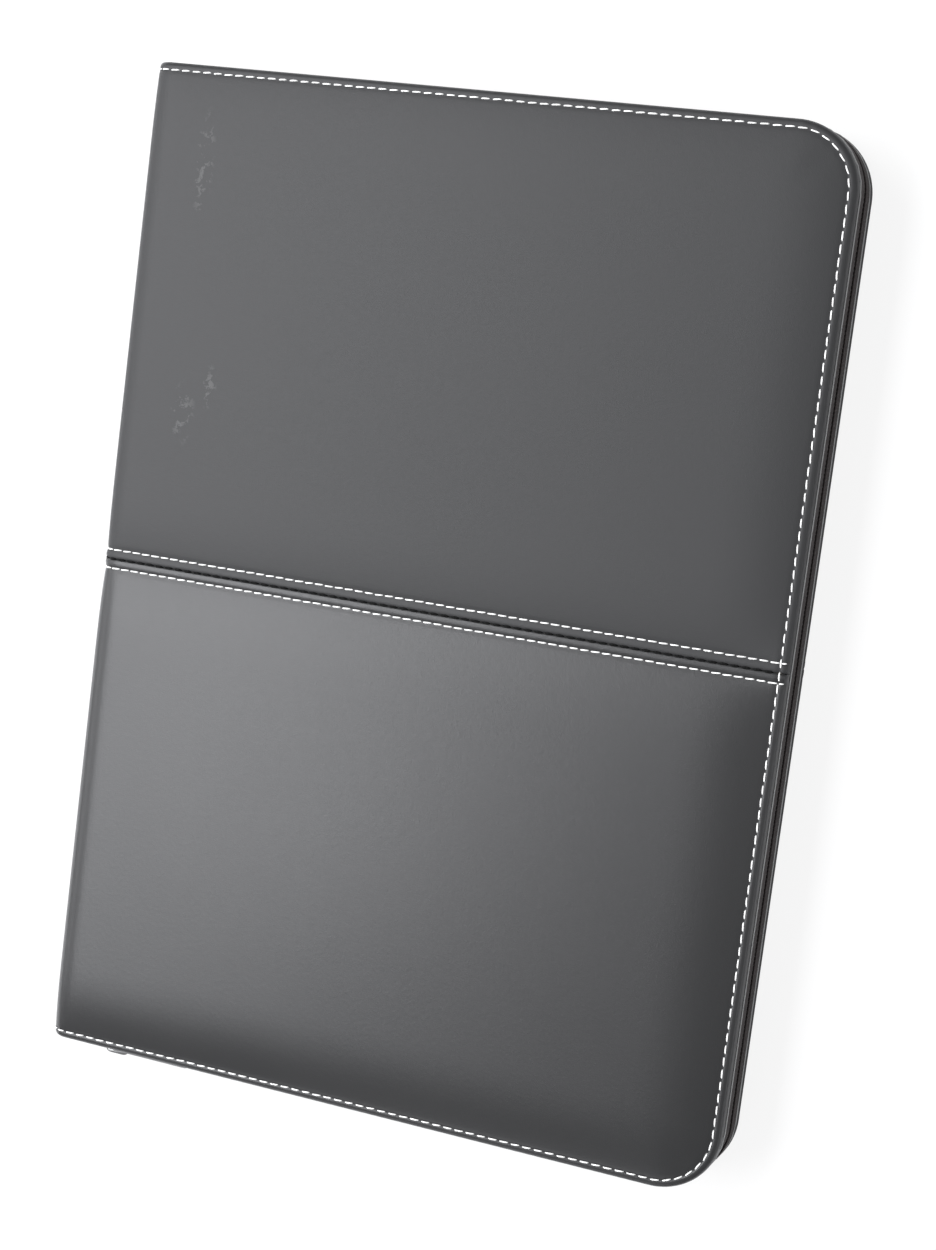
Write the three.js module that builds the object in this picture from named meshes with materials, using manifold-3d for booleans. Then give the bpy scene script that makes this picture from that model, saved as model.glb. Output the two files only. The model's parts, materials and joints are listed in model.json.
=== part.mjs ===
// A padded document folder for A4 papers, with a zip along three sides.
// It lies closed on its back cover, +Z out of the front cover, +Y towards the top edge,
// spine on the -X side. The zip is open and its slider is parked by the spine.
// All sizes are in millimetres.
import * as THREE from "three";
import Module from "manifold-3d";
import { mergeVertices } from "three/addons/utils/BufferGeometryUtils.js";

const wasm = await Module();
wasm.setup();

// Overall size
const WIDTH = 244;
const HEIGHT = 340;
const CORNER_RADIUS = 21.5;
const SPINE_CORNER_RADIUS = 6;
const SEAM_FROM_TOP = 169;

// Layers of a cover
const LEATHER = 1;
const BOARD = 2.5;
const LINING = 1;
const TAPE = 0.5;
const POCKET_LEATHER = 0.7;
const PLY_GAP = 0.1;
const HEM_WIDTH = 11;
const BOARD_INSET = 2;
const CROWN_UPPER = 1.7;
const CROWN_LOWER = 2.8;
const CROWN_BACK = 1.5;

// Stitching and seam
const STITCH_INSET = 2.8;
const STITCH_GROOVE = 0.22;
const THREAD_WIDTH = 0.55;
const THREAD_RISE = 0.22;
const SEAM_GAP = 0.8;
const SEAM_CROSSING_GAP = 0.4;
const FOLD_GAP = 0.3;

// Zip
const ZIP_GAP = 12.6;
const COIL_WIDTH = 2.8;
const COIL_THICKNESS = 2;
const COIL_FROM_MIDDLE = 1.3;
const TAPE_INSET = 0.2;
const COIL_PITCH = 3.2;
const COIL_NOTCH = 0.55;
const TAPE_CLEARANCE = 0.1;
const TAPE_FLANGE = 8.4;
const TUCK_DEPTH = 4.6;
const ZIP_END_FROM_SPINE = 11;

// Slider and pull
const SLIDER_LENGTH = 15;
const SLIDER_WIDTH = 10.6;
const SLIDER_TAIL_WIDTH = 8.4;
const SLIDER_PLATE = 1.2;
const SLIDER_BACK_PLATE = 1.1;
const SLIDER_BACK_WIDTH = 10.4;
const SLIDER_CLEARANCE = 0.3;
const SLIDER_TAPE_SLOT = 1.1;
const SLIDER_FROM_ZIP_END = 11;
const BRIDGE_LENGTH = 8.4;
const BRIDGE_WIDTH = 2.8;
const BRIDGE_HEIGHT = 2.9;
const BRIDGE_BAR = 1.1;
const PULL_LENGTH = 29;
const PULL_WIDTH = 7;
const PULL_THICKNESS = 1.2;
const PULL_ARM = 1.4;
const PULL_REACH = 6.5;
const PULL_HOLE_RADIUS = 1.5;

// Inside
const POCKET_INSET = 13;
const DOCUMENT_POCKET_HEIGHT = 208;
const CARD_WIDTH = 96;
const CARD_POCKET_HEIGHT = 58;
const CARD_STEP = 13;
const CARD_POCKETS = 3;
const PAD_POCKET_HEIGHT = 190;
const FINGER_NOTCH_RADIUS = 16;
const PEN_LOOP_LENGTH = 62;
const PEN_LOOP_WIDTH = 16;
const PEN_LOOP_HEIGHT = 10;
const PEN_LOOP_WALL = 0.9;
const PEN_LOOP_FROM_SPINE = 24;

// Smoothness
const CORNER_STEPS = 7;
const ARC_STEPS = 5;

// Places worked out from the sizes
const HEM_DEPTH = LEATHER + PLY_GAP + BOARD + PLY_GAP + LEATHER;
const LINING_TOP = HEM_DEPTH + PLY_GAP;
const COVER_EDGE = LINING_TOP + LINING;
const MIDDLE = COVER_EDGE + ZIP_GAP / 2;
const LEFT = -WIDTH / 2;
const RIGHT = WIDTH / 2;
const BOTTOM = -HEIGHT / 2;
const TOP = HEIGHT / 2;
const SEAM_Y = TOP - SEAM_FROM_TOP;
const FOLD_X = LEFT + SPINE_CORNER_RADIUS + FOLD_GAP;
const MIDDLE_Z = CROWN_BACK + MIDDLE;
const FRONT_Z = MIDDLE_Z + MIDDLE;
const BACK_Z = MIDDLE_Z - MIDDLE;
const SLIDER_PROUD = BRIDGE_HEIGHT + SLIDER_PLATE + SLIDER_CLEARANCE - TAPE_INSET;
const ORIGIN_SHIFT_Y = SLIDER_PROUD / 2;

const LEATHER_FINISH = { color: 0x45454a, roughness: 0.42, metalness: 0 };
const FOAM_FINISH = { color: 0xcfcabd, roughness: 0.95, metalness: 0 };
const BOARD_FINISH = { color: 0x9c8a70, roughness: 0.9, metalness: 0 };
const LINING_FINISH = { color: 0x222225, roughness: 0.8, metalness: 0 };
const THREAD_FINISH = { color: 0xeeeeea, roughness: 0.7, metalness: 0 };
const TAPE_FINISH = { color: 0x332c29, roughness: 0.85, metalness: 0 };
const COIL_FINISH = { color: 0x1b1a1b, roughness: 0.35, metalness: 0 };
const METAL_FINISH = { color: 0x8d8d92, roughness: 0.3, metalness: 0.9 };

// Geometry helpers

function geometryFrom(points, triangles) {
  const geometry = new THREE.BufferGeometry();
  geometry.setAttribute("position", new THREE.Float32BufferAttribute(points.flat(), 3));
  geometry.setIndex(triangles.flat());
  return geometry;
}

// A closed solid from a row of rings with equally many points, each ring counter-clockwise
// seen from where the row ends. The first and last rings are flat and close it.
function ringSolid(rings) {
  const count = rings[0].length;
  const triangles = [];
  for (let row = 0; row + 1 < rings.length; row += 1) {
    for (let i = 0; i < count; i += 1) {
      const next = (i + 1) % count;
      const a = row * count + i;
      const b = row * count + next;
      triangles.push([a, b, b + count], [a, b + count, a + count]);
    }
  }
  const last = (rings.length - 1) * count;
  for (const [a, b, c] of capTriangles(rings[0])) triangles.push([a, c, b]);
  for (const [a, b, c] of capTriangles(rings.at(-1))) triangles.push([last + a, last + b, last + c]);
  return geometryFrom(rings.flat(), triangles);
}

// Triangles that fill a flat ring, counter-clockwise as the ring is
function capTriangles(ring) {
  const normal = new THREE.Vector3();
  for (let i = 0; i < ring.length; i += 1) {
    const a = new THREE.Vector3(...ring[i]);
    const b = new THREE.Vector3(...ring[(i + 1) % ring.length]);
    normal.add(a.cross(b));
  }
  normal.normalize();
  const across = Math.abs(normal.z) < 0.9 ? new THREE.Vector3(0, 0, 1) : new THREE.Vector3(1, 0, 0);
  const u = across.clone().cross(normal).normalize();
  const v = normal.clone().cross(u);
  const flat = ring.map((p) => {
    const point = new THREE.Vector3(...p);
    return new THREE.Vector2(point.dot(u), point.dot(v));
  });
  return THREE.ShapeUtils.triangulateShape(flat, []);
}

function toManifold(geometry) {
  const bare = geometry.clone();
  bare.deleteAttribute("normal");
  bare.deleteAttribute("uv");
  const merged = mergeVertices(bare, 1e-4);
  const vertProperties = new Float32Array(merged.attributes.position.array);
  const triVerts = new Uint32Array(merged.index.array);
  return new wasm.Manifold(new wasm.Mesh({ numProp: 3, vertProperties, triVerts }));
}

function fromManifold(solid) {
  const mesh = solid.getMesh();
  const geometry = new THREE.BufferGeometry();
  const places = new Float32Array(mesh.vertProperties);
  geometry.setAttribute("position", new THREE.BufferAttribute(places, 3));
  geometry.setIndex(new THREE.BufferAttribute(new Uint32Array(mesh.triVerts), 1));
  return geometry;
}

function subtract(geometry, ...cutters) {
  let solid = toManifold(geometry);
  for (const cutter of cutters) solid = solid.subtract(toManifold(cutter));
  return fromManifold(solid);
}

function join(...geometries) {
  let solid = toManifold(geometries[0]);
  for (const geometry of geometries.slice(1)) solid = solid.add(toManifold(geometry));
  return fromManifold(solid);
}

function box(x0, x1, y0, y1, z0, z1) {
  const geometry = new THREE.BoxGeometry(x1 - x0, y1 - y0, z1 - z0);
  return geometry.translate((x0 + x1) / 2, (y0 + y1) / 2, (z0 + z1) / 2);
}

// Turns a front-cover piece, drawn down from z = 0 at its edge face, into its place
function onFront(geometry) {
  return geometry.translate(0, 0, FRONT_Z);
}

// The same piece mirrored through the folder's middle plane, onto the back cover
function onBack(geometry) {
  const places = geometry.attributes.position;
  for (let i = 0; i < places.count; i += 1) places.setZ(i, BACK_Z - places.getZ(i));
  const index = geometry.index.array;
  for (let i = 0; i < index.length; i += 3) [index[i], index[i + 1]] = [index[i + 1], index[i]];
  return geometry;
}

// Outlines

// A rectangle set in by an inset on every side, with the two fore-edge corners rounded
// where the outline has a radius for them.
function coverRing({ left, right, bottom, top, lowRadius, highRadius }, inset, z) {
  const x0 = left + inset;
  const x1 = right - inset;
  const y0 = bottom + inset;
  const y1 = top - inset;
  return [
    [x0, y0, z],
    ...cornerPoints(x1, y0, lowRadius, inset, -1, z),
    ...cornerPoints(x1, y1, highRadius, inset, 1, z),
    [x0, y1, z],
  ];
}

function cornerPoints(x, y, radius, inset, side, z) {
  if (!radius) return [[x, y, z]];
  const r = Math.max(radius - inset, 1.5);
  const points = [];
  for (let i = 0; i <= CORNER_STEPS; i += 1) {
    const turn = (i / CORNER_STEPS) * (Math.PI / 2);
    const angle = side < 0 ? turn - Math.PI / 2 : turn;
    points.push([x - r + r * Math.cos(angle), y - side * r + r * Math.sin(angle), z]);
  }
  return points;
}

const COVER = {
  left: FOLD_X - HEM_WIDTH,
  right: RIGHT,
  bottom: BOTTOM,
  top: TOP,
  lowRadius: CORNER_RADIUS,
  highRadius: CORNER_RADIUS,
};
const PAD_OVERHANG = STITCH_INSET + 1;
const UPPER_PAD = {
  left: FOLD_X - PAD_OVERHANG,
  right: RIGHT,
  bottom: SEAM_Y + SEAM_GAP / 2,
  top: TOP,
  lowRadius: 0,
  highRadius: CORNER_RADIUS,
};
const LOWER_PAD = {
  left: FOLD_X - PAD_OVERHANG,
  right: RIGHT,
  bottom: BOTTOM,
  top: SEAM_Y - SEAM_GAP / 2,
  lowRadius: CORNER_RADIUS,
  highRadius: 0,
};

// How a pad rises inside its stitch row: inset and share of the crown
const RISE = [
  [STITCH_INSET + 0.9, 0.04],
  [STITCH_INSET + 4, 0.36],
  [STITCH_INSET + 9, 0.7],
  [STITCH_INSET + 17, 0.92],
  [STITCH_INSET + 30, 1],
];

// Covers

// One leather panel of a cover: over the pad, round the board's edge and in under it
function leatherPanel(pad, crown) {
  const inside = LEATHER + 0.25;
  const rolled = BOARD_INSET - 0.1;
  const hemTop = -(HEM_DEPTH - LEATHER);
  const rings = [];
  for (const [inset, share] of RISE.toReversed()) rings.push([inset, share * crown - LEATHER]);
  rings.push([rolled, -LEATHER - 0.03]);
  rings.push([inside + 0.2, -LEATHER - 0.3]);
  rings.push([inside, -HEM_DEPTH / 2]);
  rings.push([inside + 0.2, hemTop + 0.3]);
  rings.push([rolled, hemTop]);
  rings.push([HEM_WIDTH, hemTop]);
  rings.push([HEM_WIDTH, -HEM_DEPTH]);
  rings.push([1, -HEM_DEPTH]);
  rings.push([0.45, -HEM_DEPTH + 0.45]);
  rings.push([0.25, -HEM_DEPTH / 2]);
  rings.push([0.3, -1.2]);
  rings.push([0.7, -0.45]);
  rings.push([1.35, -0.1]);
  rings.push([2.1, 0]);
  rings.push([STITCH_INSET, -STITCH_GROOVE]);
  for (const [inset, share] of RISE) rings.push([inset, share * crown]);
  const whole = ringSolid(rings.map(([inset, z]) => coverRing(pad, inset, z)));
  const edgeGroove = edgeRow(grooveSection(STITCH_INSET), FOLD_X - 1);
  const seamGroove = seamRow(pad.highRadius ? 1 : -1, grooveSection(0), FOLD_X - 1);
  return subtract(whole, edgeGroove, seamGroove, ...panelCuts(pad, crown));
}

// What is cut off a panel: all past the spine fold, and the hem where no edge is turned
function panelCuts(pad, crown) {
  const deep = -HEM_DEPTH - 1;
  const boardTop = -LEATHER - PLY_GAP / 2;
  const far = WIDTH;
  const atSeam = pad.highRadius ? pad.bottom : pad.top;
  const seamLow = pad.highRadius ? atSeam - 1 : atSeam - HEM_WIDTH - 1;
  const seamHigh = pad.highRadius ? atSeam + HEM_WIDTH + 1 : atSeam + 1;
  const wallLow = pad.highRadius ? atSeam - 1 : atSeam - BOARD_INSET;
  const wallHigh = pad.highRadius ? atSeam + BOARD_INSET : atSeam + 1;
  const past = box(-far, FOLD_X, -far, far, deep, crown + 1);
  const seamHem = box(-far, RIGHT - HEM_WIDTH, seamLow, seamHigh, deep, boardTop);
  const seamWall = box(-far, RIGHT - rimInset(), wallLow, wallHigh, deep + 2, boardTop);
  const outerEnd = pad.highRadius ? pad.top - HEM_WIDTH : pad.bottom + HEM_WIDTH;
  const spineHem = box(
    -far,
    FOLD_X + HEM_WIDTH,
    Math.min(atSeam, outerEnd) - (pad.highRadius ? 1 : 0),
    Math.max(atSeam, outerEnd) + (pad.highRadius ? 0 : 1),
    deep,
    boardTop,
  );
  return [past, seamHem, seamWall, spineHem];
}

function rimInset() {
  return BOARD_INSET - PLY_GAP;
}

function foamPad(pad, crown) {
  const base = -LEATHER;
  const rings = [[STITCH_INSET + 2.2, base]];
  for (const [inset, share] of RISE.slice(1)) rings.push([inset, share * crown - LEATHER - PLY_GAP]);
  const whole = ringSolid(rings.map(([inset, z]) => coverRing(pad, inset, z)));
  return subtract(whole, box(-WIDTH, FOLD_X + 0.5, -HEIGHT, HEIGHT, base - 1, crown + 1));
}

function coverPlate(inset, top, thickness, leftEdge) {
  const outline = { ...COVER, left: leftEdge - inset };
  return ringSolid([coverRing(outline, inset, top - thickness), coverRing(outline, inset, top)]);
}

function board() {
  return coverPlate(BOARD_INSET, -LEATHER - PLY_GAP, BOARD, FOLD_X + 0.5);
}

function lining() {
  return coverPlate(0, -LINING_TOP, LINING, FOLD_X + 0.5);
}

// Spine

// The leather round the spine, with the grooves that its thread rows lie in
function spineLeather(low, high, threadRows) {
  const grooves = threadRows.map((y) => {
    const half = THREAD_WIDTH / 2 + PLY_GAP;
    return spineStrip(-1, STITCH_GROOVE, y - half, y + half);
  });
  return subtract(spineStrip(0, LEATHER, low, high), ...grooves);
}

// A strip round the spine between two depths below its outer face, from low to high in Y
function spineStrip(outerDepth, innerDepth, low, high) {
  const outline = [...spinePath(outerDepth), ...spinePath(innerDepth).toReversed()];
  return runAlongY(outline, low, high);
}

function spinePath(offset) {
  const points = [];
  const endX = LEFT + SPINE_CORNER_RADIUS;
  const radius = SPINE_CORNER_RADIUS - offset;
  for (let i = 0; i <= ARC_STEPS; i += 1) {
    const angle = -Math.PI / 2 - (i / ARC_STEPS) * (Math.PI / 2);
    points.push([endX + radius * Math.cos(angle), BACK_Z + offset + radius + radius * Math.sin(angle)]);
  }
  for (let i = 0; i <= ARC_STEPS; i += 1) {
    const angle = Math.PI - (i / ARC_STEPS) * (Math.PI / 2);
    points.push([endX + radius * Math.cos(angle), FRONT_Z - offset - radius + radius * Math.sin(angle)]);
  }
  return points;
}

// A solid with the given outline in X and Z, run along Y from low to high
function runAlongY(outline, low, high) {
  const area = outline.reduce((sum, [x, z], i) => {
    const [nextX, nextZ] = outline[(i + 1) % outline.length];
    return sum + x * nextZ - nextX * z;
  }, 0);
  const points = area > 0 ? outline : outline.toReversed();
  return ringSolid([points.map(([x, z]) => [x, high, z]), points.map(([x, z]) => [x, low, z])]);
}

function spineBoard() {
  const x = LEFT + LEATHER + PLY_GAP;
  const z0 = BACK_Z + SPINE_CORNER_RADIUS;
  return box(x, x + BOARD / 2, BOTTOM + BOARD_INSET, TOP - BOARD_INSET, z0, FRONT_Z - SPINE_CORNER_RADIUS);
}

function spineLining() {
  const x = LEFT + LEATHER + BOARD / 2 + 2 * PLY_GAP;
  const inset = BOARD_INSET;
  return box(x, x + LINING, BOTTOM + inset, TOP - inset, BACK_Z + LINING_TOP, FRONT_Z - LINING_TOP);
}

// Stitching

// The three-sided way round the cover at an inset, from the spine along the bottom edge,
// up the fore-edge and back along the top. Each point has its outward normal and the
// share of the way from the fore-edge to the bottom run, for what lies deeper there.
function edgeWay(inset, startX, step) {
  const arc = (CORNER_RADIUS - inset) * Math.PI / 2;
  const turns = Math.max(CORNER_STEPS, Math.round(arc / step));
  const cornerX = RIGHT - CORNER_RADIUS;
  const cornerY = TOP - CORNER_RADIUS;
  const way = [];
  for (const x of evenly(startX, cornerX, step)) way.push({ x, y: BOTTOM, nx: 0, ny: -1, tuck: 1 });
  for (const t of evenly(0, 1, 1 / turns).slice(1, -1)) {
    const angle = (t - 1) * (Math.PI / 2);
    way.push(onCorner(cornerX, -cornerY, angle, 1 - THREE.MathUtils.smoothstep(t, 0, 1)));
  }
  for (const y of evenly(-cornerY, cornerY, step)) way.push({ x: RIGHT, y, nx: 1, ny: 0, tuck: 0 });
  for (const t of evenly(0, 1, 1 / turns).slice(1, -1)) {
    way.push(onCorner(cornerX, cornerY, t * (Math.PI / 2), 0));
  }
  for (const x of evenly(cornerX, startX, step)) way.push({ x, y: TOP, nx: 0, ny: 1, tuck: 0 });
  return way;
}

function onCorner(x, y, angle, tuck) {
  const nx = Math.cos(angle);
  const ny = Math.sin(angle);
  return { x: x + CORNER_RADIUS * nx, y: y + CORNER_RADIUS * ny, nx, ny, tuck };
}

// Values from one number to another in equal steps no longer than the given one
function evenly(from, to, step) {
  const count = Math.max(1, Math.round(Math.abs(to - from) / step));
  return Array.from({ length: count + 1 }, (_, i) => from + ((to - from) * i) / count);
}

// A section of (inset, z) points, counter-clockwise with inset to the left, run along a way
function runAlongEdge(way, sectionAt) {
  return ringSolid(way.map((place, i) => sectionAt(place, i).map(([inset, z]) => [
    place.x - place.nx * inset,
    place.y - place.ny * inset,
    z,
  ])));
}

// The section of a thread lying in its groove, across the row at the given place
function threadSection(across) {
  const half = THREAD_WIDTH / 2;
  const low = -STITCH_GROOVE + PLY_GAP;
  return [
    [across + half, low + PLY_GAP],
    [across + half * 0.7, THREAD_RISE],
    [across - half * 0.7, THREAD_RISE],
    [across - half, low + PLY_GAP],
    [across, low],
  ];
}

// The groove that a thread lies in, open at the top
function grooveSection(across) {
  const half = THREAD_WIDTH / 2 + PLY_GAP;
  return [
    [across + half, -STITCH_GROOVE],
    [across + half, 1],
    [across - half, 1],
    [across - half, -STITCH_GROOVE],
  ];
}

function edgeRow(section, startX) {
  const way = edgeWay(STITCH_INSET, startX, HEIGHT).filter(straightEndsOnly);
  return runAlongEdge(way, () => section);
}

function edgeThread() {
  return edgeRow(threadSection(STITCH_INSET), FOLD_X + FOLD_GAP);
}

// Keeps only the ends of straight runs, and every point of the corners
function straightEndsOnly(place, i, way) {
  const before = way[i - 1];
  const after = way[i + 1];
  if (!before || !after) return true;
  return before.nx !== place.nx || after.nx !== place.nx;
}

// One row of the seam's stitching on a cover, on the given side of the joint line
function seamThread(side) {
  return seamRow(side, threadSection(0), FOLD_X + FOLD_GAP);
}

function seamRow(side, section, startX) {
  const y = SEAM_Y + side * (SEAM_GAP / 2 + STITCH_INSET);
  const endX = RIGHT - STITCH_INSET - THREAD_WIDTH / 2 - SEAM_CROSSING_GAP;
  return ringSolid([startX, endX].map((x) => section.map(([across, z]) => [x, y + across, z])));
}

// A thread row carried over the spine, flush with its leather
function spineThread(y) {
  return spineStrip(0, STITCH_GROOVE - PLY_GAP, y - THREAD_WIDTH / 2, y + THREAD_WIDTH / 2);
}

// Zip

const COIL_INSET = TAPE_INSET + TAPE + TAPE_CLEARANCE;

// The tape of one side: a flange sewn along the lining's edge, and a web that hangs from it
// into the gap with its outer face near the cover's edge, or deeper in where it is tucked.
function zipTape(tuckDepth) {
  const top = -COVER_EDGE - PLY_GAP;
  const turn = top - TAPE;
  const edge = COIL_FROM_MIDDLE - MIDDLE;
  const start = LEFT + ZIP_END_FROM_SPINE;
  const way = edgeWay(COIL_INSET, start, COIL_PITCH / 2).filter(straightEndsOnly);
  return runAlongEdge(way, ({ tuck }) => {
    const deeper = TAPE_INSET + tuck * tuckDepth;
    return [
      [TAPE_INSET + TAPE_FLANGE, top],
      [TAPE_INSET, top],
      [TAPE_INSET, turn],
      [deeper, turn - TAPE / 5],
      [deeper, edge],
      [deeper + TAPE, edge],
      [deeper + TAPE, turn - TAPE / 5],
      [TAPE_INSET + TAPE_FLANGE, turn],
    ];
  });
}

// The coil sewn behind a tape's edge: one continuous filament, its turns standing out as teeth
function zipCoil(tuckDepth) {
  const start = LEFT + ZIP_END_FROM_SPINE + 1;
  const way = edgeWay(COIL_INSET, start, COIL_PITCH / 2);
  const near = MIDDLE - COIL_FROM_MIDDLE;
  return runAlongEdge(way, ({ tuck }, i) => {
    const inset = COIL_INSET + tuck * tuckDepth;
    const notch = i % 2 ? COIL_NOTCH : 0;
    return [
      [inset + COIL_THICKNESS - notch, -near + COIL_WIDTH - notch],
      [inset, -near + COIL_WIDTH],
      [inset, -near + notch / 2],
      [inset + COIL_THICKNESS - notch, -near + notch],
    ];
  });
}

// The slider, drawn with its travel along X, its width along Z and the tapes' plane at
// constant Y, outside towards -Y
function zipSlider() {
  const faceIn = BOTTOM + TAPE_INSET - SLIDER_CLEARANCE;
  const flangeOut = faceIn + SLIDER_TAPE_SLOT;
  const backOut = BOTTOM + COIL_INSET + COIL_THICKNESS + SLIDER_CLEARANCE;
  const plate = sliderPlate(SLIDER_WIDTH, SLIDER_TAIL_WIDTH, faceIn - SLIDER_PLATE, faceIn);
  const back = sliderPlate(SLIDER_BACK_WIDTH, SLIDER_BACK_WIDTH, backOut, backOut + SLIDER_BACK_PLATE);
  const coilReach = COIL_FROM_MIDDLE + COIL_WIDTH + SLIDER_CLEARANCE;
  const flanges = [-1, 1].map((side) => box(
    -SLIDER_LENGTH / 2 + 0.6,
    SLIDER_LENGTH / 2 - 4,
    flangeOut,
    backOut + SLIDER_BACK_PLATE / 2,
    side < 0 ? -SLIDER_BACK_WIDTH / 2 : coilReach,
    side < 0 ? -coilReach : SLIDER_BACK_WIDTH / 2,
  ));
  const neckHalf = COIL_FROM_MIDDLE - SLIDER_CLEARANCE;
  const neck = new THREE.CylinderGeometry(neckHalf, neckHalf, backOut - faceIn + 1.4, 12);
  neck.scale(2, 1, 1);
  neck.translate(SLIDER_LENGTH / 2 - 4, (backOut + faceIn) / 2, 0);
  return join(plate, back, neck, ...flanges, bridge(faceIn - SLIDER_PLATE));
}

// A plate with broad shoulders towards +X, lying between two Y values
function sliderPlate(width, tailWidth, y0, y1) {
  const head = SLIDER_LENGTH / 2;
  const shape = new THREE.Shape();
  shape.moveTo(-head, -tailWidth / 2 + 1);
  shape.quadraticCurveTo(-head, -tailWidth / 2, -head + 1, -tailWidth / 2);
  shape.lineTo(head - 6, -width / 2);
  shape.quadraticCurveTo(head - 1, -width / 2, head, -width / 5);
  shape.lineTo(head, width / 5);
  shape.quadraticCurveTo(head - 1, width / 2, head - 6, width / 2);
  shape.lineTo(-head + 1, tailWidth / 2);
  shape.quadraticCurveTo(-head, tailWidth / 2, -head, tailWidth / 2 - 1);
  shape.closePath();
  const geometry = new THREE.ExtrudeGeometry(shape, { depth: y1 - y0, bevelEnabled: false, curveSegments: 4 });
  return geometry.rotateX(Math.PI / 2).translate(0, y1, 0);
}

// The arch on the slider's face that the pull hangs on
function bridge(faceY) {
  const half = BRIDGE_LENGTH / 2;
  const shape = new THREE.Shape();
  shape.moveTo(-half, 0.3);
  shape.lineTo(-half, -BRIDGE_HEIGHT * 0.55);
  shape.quadraticCurveTo(-half, -BRIDGE_HEIGHT, -half * 0.5, -BRIDGE_HEIGHT);
  shape.lineTo(half * 0.5, -BRIDGE_HEIGHT);
  shape.quadraticCurveTo(half, -BRIDGE_HEIGHT, half, -BRIDGE_HEIGHT * 0.55);
  shape.lineTo(half, 0.3);
  shape.lineTo(half - BRIDGE_BAR, 0.3);
  shape.lineTo(half - BRIDGE_BAR, -BRIDGE_HEIGHT + BRIDGE_BAR);
  shape.lineTo(-half + BRIDGE_BAR, -BRIDGE_HEIGHT + BRIDGE_BAR);
  shape.lineTo(-half + BRIDGE_BAR, 0.3);
  shape.closePath();
  const options = { depth: BRIDGE_WIDTH, bevelEnabled: false, curveSegments: 4 };
  return new THREE.ExtrudeGeometry(shape, options).translate(0, faceY, -BRIDGE_WIDTH / 2);
}

// The pull: a crossbar through the bridge, two arms beside it and a tab with a hole
function zipPull() {
  const faceY = BOTTOM + TAPE_INSET - SLIDER_CLEARANCE - SLIDER_PLATE;
  const low = faceY - SLIDER_CLEARANCE - PULL_THICKNESS;
  const armInside = BRIDGE_WIDTH / 2 + SLIDER_CLEARANCE * 1.5;
  const shape = new THREE.Shape();
  shape.moveTo(-PULL_THICKNESS / 2, -armInside - PULL_ARM);
  shape.lineTo(PULL_LENGTH - 2, -PULL_WIDTH / 2);
  shape.quadraticCurveTo(PULL_LENGTH, -PULL_WIDTH / 2, PULL_LENGTH, -PULL_WIDTH / 2 + 2);
  shape.lineTo(PULL_LENGTH, PULL_WIDTH / 2 - 2);
  shape.quadraticCurveTo(PULL_LENGTH, PULL_WIDTH / 2, PULL_LENGTH - 2, PULL_WIDTH / 2);
  shape.lineTo(-PULL_THICKNESS / 2, armInside + PULL_ARM);
  shape.closePath();
  const window = new THREE.Path();
  window.moveTo(PULL_THICKNESS / 2, -armInside);
  window.lineTo(PULL_THICKNESS / 2, armInside);
  window.lineTo(PULL_REACH, armInside);
  window.lineTo(PULL_REACH, -armInside);
  window.closePath();
  const hole = new THREE.Path();
  hole.absarc(PULL_LENGTH - PULL_HOLE_RADIUS * 2.4, 0, PULL_HOLE_RADIUS, 0, Math.PI * 2, true);
  shape.holes.push(window, hole);
  const options = { depth: PULL_THICKNESS, bevelEnabled: false, curveSegments: 4 };
  return new THREE.ExtrudeGeometry(shape, options).rotateX(Math.PI / 2).translate(0, low + PULL_THICKNESS, 0);
}

// Inside of the folder

function pocketSheet(x0, x1, y0, y1, layer) {
  const top = -COVER_EDGE - PLY_GAP - layer * (POCKET_LEATHER + PLY_GAP);
  return box(x0, x1, y0, y1, top - POCKET_LEATHER, top);
}

function documentPocket() {
  const y0 = BOTTOM + POCKET_INSET;
  return pocketSheet(FOLD_X + POCKET_INSET, RIGHT - POCKET_INSET, y0, y0 + DOCUMENT_POCKET_HEIGHT, 0);
}

// Card pockets overlap in steps above the document pocket, the nearest one lowest
function cardPocket(number) {
  const x0 = FOLD_X + POCKET_INSET + (WIDTH - 2 * POCKET_INSET - CARD_WIDTH) / 2;
  const y0 = BOTTOM + POCKET_INSET + DOCUMENT_POCKET_HEIGHT + POCKET_INSET;
  const y1 = y0 + CARD_POCKET_HEIGHT + (CARD_POCKETS - number) * CARD_STEP;
  return pocketSheet(x0, x0 + CARD_WIDTH, y0, y1, number - 1);
}

// The sheet that a writing pad's card slides under, with a finger notch in its top edge
function padPocket() {
  const y0 = BOTTOM + POCKET_INSET;
  const y1 = y0 + PAD_POCKET_HEIGHT;
  const sheet = pocketSheet(FOLD_X + POCKET_INSET * 3, RIGHT - POCKET_INSET, y0, y1, 0);
  const notch = new THREE.CylinderGeometry(FINGER_NOTCH_RADIUS, FINGER_NOTCH_RADIUS, 4, 24);
  notch.rotateX(Math.PI / 2).translate((FOLD_X + POCKET_INSET * 3 + RIGHT - POCKET_INSET) / 2, y1, -COVER_EDGE);
  return subtract(sheet, notch);
}

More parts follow.
